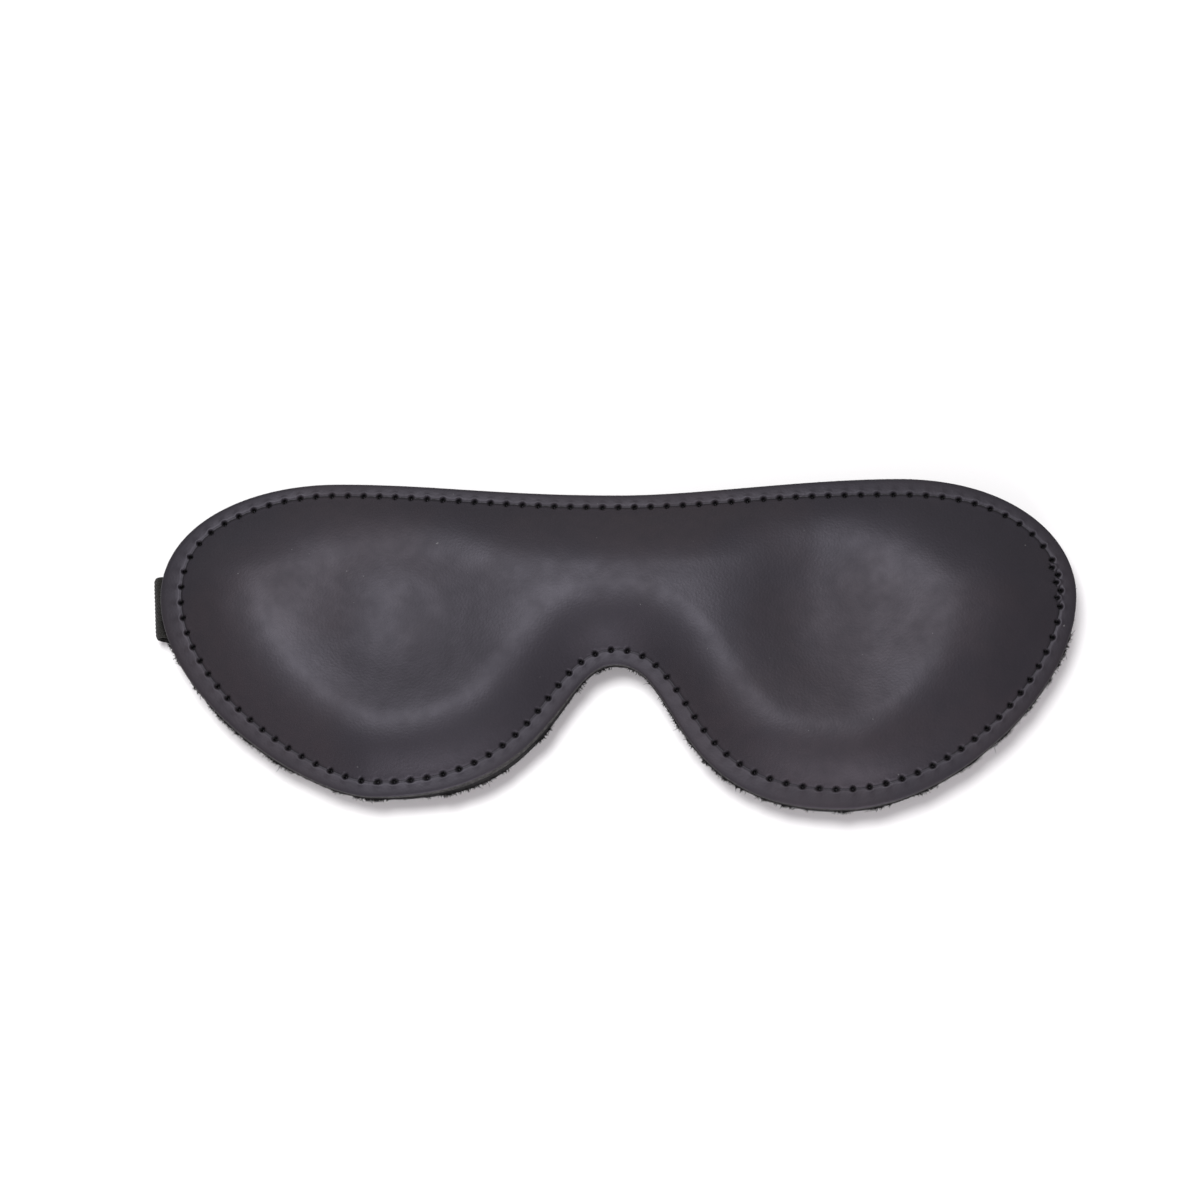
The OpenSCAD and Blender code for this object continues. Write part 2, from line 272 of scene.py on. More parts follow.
def nearest_hole(p, holes, headings):
    """For each point, how far it is ahead of its nearest stitch hole, and how far outside the seam there."""
    ahead, outside = np.empty(len(p)), np.empty(len(p))
    for start in range(0, len(p), AT_A_TIME):
        some = slice(start, start + AT_A_TIME)
        gap = p[some, None] - holes
        hole = (gap**2).sum(2).argmin(1)
        gap = gap[np.arange(len(gap)), hole]
        ahead[some] = (gap * headings[hole]).sum(1)
        outside[some] = (gap * left_of(headings)[hole]).sum(1)
    return ahead, outside


RIM_REACH = 8  # the rim is nowhere wider than this
SIDES_SOFT = 0.2  # how softly the distances from the two sides are joined at the seam
SIDES_SOFT_SHARE = 0.3  # and how much more softly for each millimetre inside it


def inside_seam(p):
    """How far inside the seam each point is, below 0 in the rim, with no crease halfway between two sides."""
    up, down = distance_to_line(p, UPPER_SEAM), distance_to_line(p, LOWER_SEAM)
    ahead, outside = nearest_hole(p, HOLES, HOLE_HEADINGS)
    in_rim = (outside > 0) & (np.hypot(ahead, outside) < RIM_REACH)
    nearer = np.minimum(up, down)
    return np.where(in_rim, -nearer, soft_min(up, down, SIDES_SOFT + SIDES_SOFT_SHARE * nearer))


HOLE_LENGTH = 0.43
HOLE_WIDTH = 0.62
HOLE_POWER = 3
GROOVE_WIDTH = 0.36
PUCKER = 0.12
PUCKER_AT = 1.0
PUCKER_LENGTH = 0.7
PUCKER_WIDTH = 0.45


def hole_share(ahead, outside):
    """1 in the middle of a stitch hole, 0 away from it."""
    return np.exp(-(np.hypot(ahead / HOLE_LENGTH, outside / HOLE_WIDTH) ** HOLE_POWER))


def seam_dents(p, depth, groove):
    """How far the thread pulls the leather in: a fine groove along the seam, and a hole at each stitch, with
    the leather puckered up a little outside it."""
    ahead, outside = nearest_hole(p, ALL_HOLES, ALL_HEADINGS)
    pucker_r = (ahead / PUCKER_LENGTH) ** 2 + ((outside - PUCKER_AT) / PUCKER_WIDTH) ** 2
    dents = groove * bump_at(outside, 0, GROOVE_WIDTH) + depth * hole_share(ahead, outside)
    return dents - PUCKER * np.exp(-pucker_r)


# ---------------------------------------------------------------- the padding's shape
# The padding starts to rise just inside the seam, and is at full height a ramp further in. It is lower near
# the brow.
PAD_START = 0.3
PAD_START_SOFT = 0.6
PAD_RAMP = 15.5
PAD_POWER = 1.85
FRONT_SWELL = 7
BROW_LINE = 21
BROW_DROP = 0.25
BROW_SOFT = 5
FRONT_HOLLOW_POWER = 2.3
CUSHION_POWER = 2
TEMPLE_X = 55
TEMPLE_RUN = 30
NOSE_BLEND = 4  # how gradually one eye's shape turns into the other's across the nose

# The back is pressed flat on the table, with a hollow for each closed eye and a bed for the strap
BACK_RAMP = 24
BACK_POWER = 2.3
BACK_GAIN = 1.8
BACK_BROW_LINE = 21
BACK_BROW_DROP = 0.45
BACK_BROW_SOFT = 4
HOLLOW = (48, 2)
HOLLOW_R = (18.5, 20.5)
HOLLOW_TILT = math.radians(-35)
HOLLOW_POWER = 2.6
STRAP_Y = (ring_low[1] + ring_high[1]) / 2
STRAP_W = left_high[1] - left_low[1]
STRAP_ROOM = 5
STRAP_BED = STRAP_W / 2 + 5
BED_FADE = 6
BED_SOFT = 1.2
TABLE_SOFT = 1.0
END_X = 78  # beyond this the strap's ends need the whole height below the rim


def rise(inside, ramp, power):
    u = np.clip(soft_ramp(inside - PAD_START, PAD_START_SOFT) / ramp, 0, 1)
    return 1 - (1 - u) ** power


def brow_fade(y, line, drop, softness):
    return 1 - drop / (1 + np.exp((line - y) / softness))


def oval(p, centre, reach, tilt, power):
    """1 in the middle of an oval on either side of the mask, falling to 0 outside it."""
    dx, dy = np.abs(p[:, 0]) - centre[0], p[:, 1] - centre[1]
    c, s = math.cos(tilt), math.sin(tilt)
    r = np.hypot((c * dx + s * dy) / reach[0], (c * dy - s * dx) / reach[1])
    return np.exp(-(r**power))


# Each eye's hollow in the front and the low cushion inside it, its share of the swell, and how much longer
# the padding's ramp is at the temple
FRONT_EYES = {
    "left": {
        "hollow": {"centre": (50.5, 5), "reach": (19.5, 18), "depth": 0.84},
        "cushion": {"centre": (48, 5), "reach": (10, 10), "height": 1.1},
        "swell": 0.87,
        "temple": 2.5,
    },
    "right": {
        "hollow": {"centre": (51, 8), "reach": (19.5, 23), "depth": 0.8},
        "cushion": {"centre": (52, 4), "reach": (11, 11), "height": 0.9},
        "swell": 1.0,
        "temple": 9.5,
    },
}


def front_rise(p, inside):
    """How far the padding lifts the leather: a swell with a hollow at each eye and a low cushion in it."""
    fade = brow_fade(p[:, 1], BROW_LINE, BROW_DROP, BROW_SOFT)
    lift = {}
    for side, eye in FRONT_EYES.items():
        hollow, cushion = eye["hollow"], eye["cushion"]
        hollowed = 1 - hollow["depth"] * oval(p, hollow["centre"], hollow["reach"], 0, FRONT_HOLLOW_POWER)
        cushioned = cushion["height"] * oval(p, cushion["centre"], cushion["reach"], 0, CUSHION_POWER)
        lift[side] = FRONT_SWELL * eye["swell"] * fade * hollowed + cushioned
    right = 1 / (1 + np.exp(-p[:, 0] / NOSE_BLEND))
    height = lift["left"] * (1 - right) + lift["right"] * right
    longer = FRONT_EYES["left"]["temple"] * (1 - right) + FRONT_EYES["right"]["temple"] * right
    ramp = PAD_RAMP + longer * smooth01((np.abs(p[:, 0]) - TEMPLE_X) / TEMPLE_RUN)
    return rise(inside, ramp, PAD_POWER) * height


def back_rise(p, inside):
    """How far the padding pushes the lining down, at most to the table."""
    beside = smooth01((np.abs(p[:, 1] - STRAP_Y) - STRAP_BED) / BED_FADE)
    over = (RIM_Z - STRAP_ROOM) * (1 - smooth01((np.abs(p[:, 0]) - END_X + BED_FADE) / BED_FADE))
    room = beside * RIM_Z + (1 - beside) * over
    fade = brow_fade(p[:, 1], BACK_BROW_LINE, BACK_BROW_DROP, BACK_BROW_SOFT)
    hollowed = 1 - oval(p, HOLLOW, HOLLOW_R, HOLLOW_TILT, HOLLOW_POWER)
    swell = BACK_GAIN * RIM_Z * rise(inside, BACK_RAMP, BACK_POWER) * fade * hollowed
    return np.maximum(soft_min(soft_min(swell, room, BED_SOFT), np.full(len(p), RIM_Z), TABLE_SOFT), 0)


FLARE_LEAST = 0.12
FLARE_Y = -4
FLARE_FADE = 14
FLARES = [(-29, 17, 1.25), (-84, 12, 0.3), (50, 25, 0.15)]  # the middle and width along X, and how far out


def flare(p):
    """How far the lining's cut edge sticks out beyond the leather's, most of all below the left eye."""
    below = smooth01((FLARE_Y - p[:, 1]) / FLARE_FADE)
    return FLARE_LEAST + below * sum(out * bump_at(p[:, 0], x, width) for x, width, out in FLARES)


def frayed(p):
    """The flare with the unevenness of the cut edge."""
    return flare(p) + 0.1 * rough(p, scale=5, seed=8) + 0.07 * rough(p, scale=1.1, seed=9)


# ---------------------------------------------------------------- meshes
def add_mesh(name, points, faces, material):
    """A new smooth object from points in millimetres, with one material or a list of them."""
    mesh = bpy.data.meshes.new(name)
    mesh.from_pydata((np.asarray(points) * MM).tolist(), [], faces)
    mesh.update()
    mesh.shade_smooth()
    obj = bpy.data.objects.new(name, mesh)
    bpy.context.scene.collection.objects.link(obj)
    for m in material if isinstance(material, list) else [material]:
        mesh.materials.append(m)
    return obj


RIM_W = 4  # about how far the seam is from the edge
EDGE_FADE = 3  # how far in from the edge the rows move with it
FAR = 99.0


def net(half_columns, edge_rows, seam_rows, middle_rows, reach=None):
    """A net of points over the mask: columns from one tip to the other, rows at distances from the edge, then
    from the seam, then across the middle. reach gives how far the edge is moved out. Returns the points, how
    far each is from the net's own edge, the faces that look up, and the numbers of the edge's points."""
    k = np.arange(1 - half_columns, half_columns)
    u = np.abs(k) / half_columns * 2
    edge_rows, seam_rows = np.array(edge_rows, float), np.array(seam_rows, float)

    def insets(half, which, u):
        plain = half.edge(which, u, 0) * (MIRROR if half is LEFT else 1)
        out = reach(plain) if reach else np.zeros(len(u))
        near_edge = edge_rows - out[:, None] * np.clip(1 - edge_rows / EDGE_FADE, 0, 1)
        return np.hstack([near_edge, half.seam(which, u)[:, None] + seam_rows])

    def rows(which):
        result = np.empty((len(k), len(edge_rows) + len(seam_rows), 2))
        for half, mine, flip in ((LEFT, k < 0, MIRROR), (RIGHT, k >= 0, np.ones(2))):
            depth = insets(half, which, u[mine])
            result[mine] = np.stack([half.edge(which, u[mine], d) * flip for d in depth.T], axis=1)
        return result

    low, high = rows("lower"), rows("upper")[:, ::-1]
    share = (np.arange(1, middle_rows) / middle_rows)[None, :, None]
    middle = low[:, -1:] + (high[:, :1] - low[:, -1:]) * share
    grid = np.concatenate([low, middle, high], axis=1)
    columns, count = grid.shape[:2]
    tips = []
    for half, side in ((LEFT, -1), (RIGHT, 1)):
        depth = insets(half, "upper", np.array([2.0]))[0]
        tips.append(np.column_stack([side * (half.tip_x - depth), np.full(len(depth), TIP_Y)]))
    points = np.vstack([grid.reshape(-1, 2), *tips])

    n = len(edge_rows) + len(seam_rows)
    own = np.concatenate([edge_rows, seam_rows + RIM_W])
    own_row = np.concatenate([own, np.full(middle_rows - 1, FAR), own[::-1]])
    from_edge = np.concatenate([np.tile(own_row, columns), own, own])

    number = np.arange(columns * count).reshape(columns, count)
    corners = [number[:-1, :-1], number[1:, :-1], number[1:, 1:], number[:-1, 1:]]
    quads = np.stack(corners, axis=-1).reshape(-1, 4).tolist()
    for side, column in ((0, number[0]), (1, number[-1])):
        tip = columns * count + side * n
        fan = [[tip + i, column[i], column[i + 1], tip + i + 1] for i in range(n - 1)]
        fan += [[tip + i, tip + i + 1, column[count - 2 - i], column[count - 1 - i]] for i in range(n - 1)]
        fan += [[tip + n - 1, column[j], column[j + 1]] for j in range(n - 1, count - n)]
        quads += [[int(x) for x in (face[::-1] if side else face)] for face in fan]
    edge = np.concatenate([[columns * count], number[:, 0], [columns * count + n], number[::-1, -1]])
    return points, from_edge, quads, edge


EDGE_ROWS = [0, 0.1, 0.25, 0.5, 0.9, 1.4]
SEAM_ROWS = np.concatenate([[-1.5], np.arange(-1.2, 1.3, 0.15), [1.5, 2.0, 2.8, 3.8]])
PLAIN_EDGE_ROWS = [0, 1.5]
PLAIN_SEAM_ROWS = [0, 3]
HALF_COLUMNS = 420
MIDDLE_ROWS = 64
PLAIN_MIDDLE_ROWS = 30
WALL_LOOPS = 7
WALL_LUMPS = 0.07
WALL_LUMP_SIZE = 0.9
WALL_SLIP = 3  # how far the lumps' noise moves on from the wall's top to its bottom


def sheet_object(name, upper, lower, wall_bulge, materials):
    """A closed sheet. upper and lower are each (points in the plane, faces, edge, heights). The wall between
    them is the cut edge, and has the second material."""
    (pu, fu, eu, zu), (pl, fl, el, zl) = upper, lower
    points = [np.column_stack([pu, zu]), np.column_stack([pl, zl])]
    faces = [list(f) for f in fu] + [[i + len(pu) for i in f[::-1]] for f in fl]
    count = len(pu) + len(pl)
    top, bottom = points[0][eu], points[1][el]
    around = np.roll(top, -1, axis=0)[:, :2] - np.roll(top, 1, axis=0)[:, :2]
    outward = np.stack([around[:, 1], -around[:, 0]], axis=1) / np.linalg.norm(around, axis=1)[:, None]
    loops = [eu]
    for share in np.linspace(0, 1, WALL_LOOPS)[1:-1]:
        ring = top + (bottom - top) * share
        lumps = WALL_LUMPS * rough(ring[:, :2] + share * WALL_SLIP, WALL_LUMP_SIZE, seed=3)
        ring[:, :2] += outward * (wall_bulge * math.sin(math.pi * share) + lumps)[:, None]
        points.append(ring)
        loops.append(np.arange(count, count + len(ring)))
        count += len(ring)
    loops.append(el + len(pu))
    walls = []
    for a, b in zip(loops[:-1], loops[1:]):
        a2, b2 = np.roll(a, -1), np.roll(b, -1)
        walls += np.stack([a2, a, b, b2], axis=1).tolist()
    obj = add_mesh(name, np.vstack(points), faces + walls, materials)
    index = np.zeros(len(obj.data.polygons), np.int32)
    index[len(faces) :] = 1
    obj.data.polygons.foreach_set("material_index", index)
    return obj


# The rim's surface: a slight bulge, a droop towards the cut edge, and rounded cut edges
PUFF = 0.06
PUFF_REACH = 6
RIM_DROOP = 0.03
FRONT_EDGE_ROUND = 0.16
FRONT_EDGE_RUN = 0.18
BACK_EDGE_ROUND = 0.22
BACK_EDGE_RUN = 0.25
FRONT_HOLE_DEPTH = 1.3
FRONT_GROOVE_DEPTH = 0.22
BACK_HOLE_DEPTH = 0.8
BACK_GROOVE_DEPTH = 0.25
LEATHER_BULGE = 0.05
SUEDE_BULGE = 0.1
FRONT_FLARE_SHARE = 0.45
BACK_FLARE_SHARE = 0.55
GROOVE_SHADE_SHARE = 0.6  # how strongly shade is painted along the seam's groove, as a share of that painted in a hole
GROOVE_SHADE_WIDTH = 0.24


def plain_net(flare_share):
    """The net of a hidden side: fewer rows, and its edge moved out by a share of the flare."""
    rows = PLAIN_EDGE_ROWS, PLAIN_SEAM_ROWS, PLAIN_MIDDLE_ROWS
    return net(HALF_COLUMNS, *rows, lambda at: flare_share * flare(at))


def rim_puff(inside, from_edge):
    """The rim bulges a little between its cut edge and the seam."""
    outside = np.maximum(-inside, 0)
    share = outside / (outside + np.minimum(from_edge, PUFF_REACH) + 1e-6)
    return np.sin(np.pi * np.clip(share, 0, 1))


def make_front_panel(materials):
    """The leather, with an attribute for the shade painted into its stitch holes and along the seam's groove.
    """
    p, from_edge, faces, edge = net(HALF_COLUMNS, EDGE_ROWS, SEAM_ROWS, MIDDLE_ROWS)
    inside = inside_seam(p)
    z = FRONT_Z + front_rise(p, inside)
    z += PUFF * rim_puff(inside, from_edge) - FRONT_EDGE_ROUND * np.exp(-from_edge / FRONT_EDGE_RUN)
    z -= RIM_DROOP * np.minimum(inside, 0) ** 2
    z -= seam_dents(p, FRONT_HOLE_DEPTH, FRONT_GROOVE_DEPTH)
    waves = 0.12 * rough(p, scale=26, seed=1) + 0.05 * rough(p, scale=9, seed=2)
    z += smooth01((inside - 1) / 6) * waves
    z += 0.05 * rough(p, scale=6, seed=4) * smooth01(from_edge / 2)
    q, _, under, under_edge = plain_net(FRONT_FLARE_SHARE)
    below = MIDDLE_Z + front_rise(q, inside_seam(q))
    upper, lower = (p, faces, edge, z), (q, under, under_edge, below)
    obj = sheet_object("front_panel_leather", upper, lower, LEATHER_BULGE, materials)
    ahead, outside = nearest_hole(p, ALL_HOLES, ALL_HEADINGS)
    # painted shade: full in the stitch holes, and a share of it along the seam's groove
    painted_seam_shade = np.zeros(len(obj.data.vertices))
    groove = GROOVE_SHADE_SHARE * bump_at(outside, 0, GROOVE_SHADE_WIDTH)
    painted_seam_shade[: len(p)] = np.maximum(hole_share(ahead, outside), groove)
    obj.data.attributes.new("painted_seam_shade", "FLOAT", "POINT").data.foreach_set("value", painted_seam_shade)
    return obj


def make_back_lining(materials):
    p, from_edge, faces, edge = net(HALF_COLUMNS, EDGE_ROWS, SEAM_ROWS, MIDDLE_ROWS, frayed)
    inside = inside_seam(p)
    z = RIM_Z - back_rise(p, inside)
    dents = seam_dents(p, BACK_HOLE_DEPTH, BACK_GROOVE_DEPTH)
    z += BACK_EDGE_ROUND * np.exp(-from_edge / BACK_EDGE_RUN) + dents
    z += smooth01(inside / 4) * 0.1 * (rough(p, scale=14, seed=5) + 0.6 * rough(p, scale=5, seed=6) + 0.8)
    q, _, above, above_edge = plain_net(BACK_FLARE_SHARE)
    top = MIDDLE_Z - back_rise(q, inside_seam(q))
    upper, lower = (q, above, above_edge, top), (p, faces, edge, z)
    return sheet_object("back_lining_suede", upper, lower, SUEDE_BULGE, materials)


FOAM_COLUMNS = 120
FOAM_ROWS = [3.6, 3.9, 4.6, 5.6]
FOAM_MIDDLE_ROWS = 50
FOAM_GAP = 0.12
FOAM_BULGE = 0.05
FOAM_LEAST_T = 0.2
FOAM_EDGE_ROUND = 0.35
FOAM_EDGE_RUN = 0.5
FOAM_HOLE_R = 9


def make_foam(material):
    """The foam core: one piece of foam with a hole at each eye."""
    p, from_edge, faces, edge = net(FOAM_COLUMNS, [], FOAM_ROWS, FOAM_MIDDLE_ROWS)
    inside = inside_seam(p)
    from_own_edge = np.minimum(from_edge, 20) - FOAM_ROWS[0] - RIM_W
    soft = FOAM_EDGE_ROUND * np.exp(-from_own_edge / FOAM_EDGE_RUN)
    high = MIDDLE_Z + front_rise(p, inside) - FOAM_GAP - soft
    low = MIDDLE_Z - back_rise(p, inside) + FOAM_GAP + soft
    low = np.minimum(low, high - FOAM_LEAST_T)
    upper, lower = (p, faces, edge, high), (p, faces, edge, low)
    obj = sheet_object("foam_core_pad", upper, lower, FOAM_BULGE, [material, material])
    for side in (-1, 1):
        bpy.ops.mesh.primitive_cylinder_add(
            vertices=72,
            radius=FOAM_HOLE_R * MM,
            depth=0.05,
            location=(side * HOLLOW[0] * MM, HOLLOW[1] * MM, MIDDLE_Z * MM),
        )
        cutter = bpy.context.object
        cut = obj.modifiers.new("eye hole", "BOOLEAN")
        cut.operation, cut.solver, cut.object = "DIFFERENCE", "EXACT", cutter
        apply_modifiers(obj)
        bpy.data.objects.remove(cutter, do_unlink=True)
    return obj


def apply_modifiers(obj):
    """Replace the object's mesh with the result of its modifiers."""
    bpy.context.view_layer.update()
    result = bpy.data.meshes.new_from_object(obj.evaluated_get(bpy.context.evaluated_depsgraph_get()))
    obj.modifiers.clear()
    old, obj.data = obj.data, result
    bpy.data.meshes.remove(old)


# ---------------------------------------------------------------- thread
def skin(number):
    """The faces between neighbouring loops of points. The last axis of their numbers goes round each loop."""
    a, b = number[..., :-1, :], number[..., 1:, :]
    a2, b2 = np.roll(a, -1, axis=-1), np.roll(b, -1, axis=-1)
    return np.stack([a, a2, b2, b], axis=-1).reshape(-1, 4).tolist()


def tubes(paths, radii, sides):
    """Points and faces of closed round tubes along paths, an array of (tubes, points on each, 3)."""
    paths = np.asarray(paths, float)
    count, steps = paths.shape[:2]
    ahead = np.gradient(paths, axis=1)
    ahead /= np.linalg.norm(ahead, axis=2)[..., None] + 1e-12
    up = np.where(np.abs(ahead[..., 2:]) > 0.9, (1.0, 0, 0), (0, 0, 1.0))
    side = np.cross(ahead, up)
    side /= np.linalg.norm(side, axis=2)[..., None]
    other = np.cross(side, ahead)
    angle = np.arange(sides) / sides * 2 * math.pi
    radii = np.broadcast_to(radii, (count, steps))[..., None, None]
    ring = side[:, :, None] * np.cos(angle)[:, None] + other[:, :, None] * np.sin(angle)[:, None]
    points = (paths[:, :, None] + radii * ring).reshape(-1, 3)
    number = np.arange(count * steps * sides).reshape(count, steps, sides)
    return points, skin(number) + number[:, 0, ::-1].tolist() + number[:, -1].tolist()


STITCH_POINTS = 13
STITCH_SQUARE = 0.4  # below 1 the stitch lies flat between its ends
STITCH_SLANT = 0.16
LAP_UP = 0.15
FRONT_THREAD_IN = 0.2  # how far the thread is sunk into the leather, and into the lining
BACK_THREAD_IN = 0.15
THREAD_SIDES = 8
TACK_W = STRAP_W - 3
TACK_L = 2.0
END_TACK_IN = 13
RING_TACK_OUT = 11
TACK_TURNS = 26
TACK_UP = 0.16
TACK_DIP = 0.34  # how far the thread goes down at the end of each turn


def stitch_paths(holes, z, sign):
    """Each stitch comes up out of one hole, runs a little aslant along the leather and goes down the next."""
    a, b = holes[:-1], holes[1:]
    u = np.linspace(0, 1, STITCH_POINTS)
    height = z + sign * (np.sin(np.pi * u) ** STITCH_SQUARE - 1)
    flat = a[:, None] + (b - a)[:, None] * (0.05 + 0.9 * smooth01(u))[None, :, None]
    beside = left_of((b - a) / np.linalg.norm(b - a, axis=1)[:, None])
    flat += beside[:, None] * (STITCH_SLANT * np.cos(np.pi * u))[None, :, None]
    return np.concatenate([flat, np.broadcast_to(height[None, :, None], (*flat.shape[:2], 1))], axis=2)


def make_seam(name, z, sign, material):
    """The seam's thread on one side. The doubled stitches lie on top of the others."""
    round_the_rim = stitch_paths(np.vstack([HOLES, HOLES[:1]]), z, sign)
    doubled = stitch_paths(LAP_HOLES, z + sign * LAP_UP, sign)
    points, faces = tubes(np.vstack([round_the_rim, doubled]), THREAD_D / 2, THREAD_SIDES)
    return add_mesh(name, points, faces, material)


def make_tack(name, x, z, sign, material):
    """A bar tack: thread run to and fro across the strap."""
    u = np.linspace(0, 1, TACK_TURNS * 6 + 1)
    zig = np.abs((u * TACK_TURNS) % 2 - 1) * 2 - 1
    y = STRAP_Y + (u - 0.5) * TACK_W
    across = x + zig * TACK_L / 2
    height = z + sign * (TACK_UP - TACK_DIP * np.abs(zig) ** 6)
    points, faces = tubes([np.column_stack([across, y, height])], THREAD_D / 2, THREAD_SIDES)
    return add_mesh(name, points, faces, material)


# ---------------------------------------------------------------- elastic
HARDWARE_GAP = 0.05
LAYER_GAP = 0.1
TABLE_GAP = 0.01
STRAP_T = ring_low[2] - HARDWARE_GAP
LOW_Z = STRAP_T / 2
SECOND_Z = LOW_Z + STRAP_T + LAYER_GAP
END_Z = left_high[2] - STRAP_T / 2
END_LOW = 8  # how far an end reaches in under its own sewn part
END_SEWN = 14
LEFT_CUT = left_low[0] + END_LOW
RIGHT_CUT = right_high[0] - END_LOW
FOLD_R = (END_Z - LOW_Z) / 2
RING_X = (ring_low[0] + ring_high[0]) / 2
RING_Z = (ring_low[2] + ring_high[2]) / 2
WIRE_D = ring_high[2] - ring_low[2]
RING_BAR = (ring_high[0] - ring_low[0]) / 2 - WIRE_D / 2
RING_TURN = (WIRE_D + STRAP_T) / 2 + HARDWARE_GAP
SLIDER_X = (slider_low[0] + slider_high[0]) / 2
OUTER_BAR_W = 2.2
OUTER_BAR_X = (slider_high[0] - slider_low[0]) / 2 - OUTER_BAR_W / 2
BAR_T = 1.2
MIDDLE_BAR_W = 2.4
MIDDLE_BAR_Z = slider_high[2] - BAR_T
OVER_BAR = slider_low[2] + BAR_T + HARDWARE_GAP + STRAP_T / 2
WAVE_REACH = 13
LOOP_R = (BAR_T + STRAP_T) / 2 + HARDWARE_GAP
LOOP_FLAT = 1  # past the wire's middle, each loop starts to come down here and is down at LOOP_END
LOOP_END = 8
SHORT_TAIL = 14
RIB = 0.95
RIB_DEPTH = 0.07
WEFT = 0.8
WEFT_DEPTH = 0.015
BAND_STEP = 0.4
BAND_COLUMNS = 65

# The left fold lies aslant, further out and towards the brow than the strap's straight line
LEFT_SKEW = -0.1
FOLD_OUT = 2.1
FOLD_UP = 1.8
FOLD_INNER = 2  # the fold is fully aslant up to this far from its outer end


def turn_line(x, z, r, start, end):
    a = np.radians(np.linspace(start, end, 25))
    return np.column_stack([x + r * np.cos(a), z + r * np.sin(a)])


def slope_line(x0, z0, x1, z1):
    u = np.linspace(0, 1, 17)
    return np.column_stack([x0 + (x1 - x0) * u, z0 + (z1 - z0) * smooth01(u)])


def make_band(name, line, material, lie=None):
    """A length of ribbed elastic along a line in the X-Z plane, with where each point lies on the flat band.
    lie moves the points of a band that does not lie straight."""
    line = np.vstack([line[:1], line[1:][np.linalg.norm(np.diff(line, axis=0), axis=1) > 1e-6]])
    run = np.concatenate([[0], np.cumsum(np.linalg.norm(np.diff(line, axis=0), axis=1))])
    steps = max(8, int(run[-1] / BAND_STEP))
    at = np.linspace(0, run[-1], steps)
    centre = np.column_stack([np.interp(at, run, line[:, k]) for k in range(2)])
    for _ in range(3):
        centre[1:-1] = (centre[:-2] + 2 * centre[1:-1] + centre[2:]) / 4
    ahead = np.gradient(centre, axis=0)
    ahead /= np.linalg.norm(ahead, axis=1)[:, None]
    normal = np.stack([-ahead[:, 1], ahead[:, 0]], axis=1)
    across = np.linspace(-1, 1, BAND_COLUMNS) * (STRAP_W / 2)
    edge = np.clip(1 - (np.abs(across) / (STRAP_W / 2)) ** 14, 0.02, 1) ** 0.5
    half = (STRAP_T / 2 - RIB_DEPTH + RIB_DEPTH * np.cos(2 * math.pi * across / RIB)) * edge
    y = np.concatenate([across, across[::-1]])
    h = np.concatenate([half, -half[::-1]])
    weft = WEFT_DEPTH * np.cos(2 * math.pi * at / WEFT)[:, None] * np.sign(h)
    h = h[None] + weft * (np.abs(h) > 0.2)
    points = np.empty((steps, len(y), 3))
    points[..., 0] = centre[:, :1] + normal[:, :1] * h
    points[..., 1] = STRAP_Y + y
    points[..., 2] = np.maximum(centre[:, 1:] + normal[:, 1:] * h, TABLE_GAP)
    if lie:
        lie(points)
    number = np.arange(points.shape[0] * points.shape[1]).reshape(points.shape[:2])
    faces = skin(number) + [number[0, ::-1].tolist(), number[-1].tolist()]
    obj = add_mesh(name, points.reshape(-1, 3), faces, material)
    weave = np.zeros((len(obj.data.vertices), 3))
    weave[:, 0] = np.repeat(at, len(y))
    weave[:, 1] = np.tile(y, steps)
    weave[:, 2] = np.tile(np.sign(np.concatenate([half, -half])), steps)
    attribute = obj.data.attributes.new("weave", "FLOAT_VECTOR", "POINT")
    attribute.data.foreach_set("vector", weave.ravel())
    return obj


def end_line(fold_x, side, cut_x):
    """One end of the strap: sewn part, fold and the start of the part below."""
    x = fold_x - side * (STRAP_T / 2 + FOLD_R)
    turn = turn_line(x, (END_Z + LOW_Z) / 2, FOLD_R, 90, 90 - side * 180)
    return np.vstack([[[x - side * END_SEWN, END_Z]], turn, [[cut_x, LOW_Z]]])


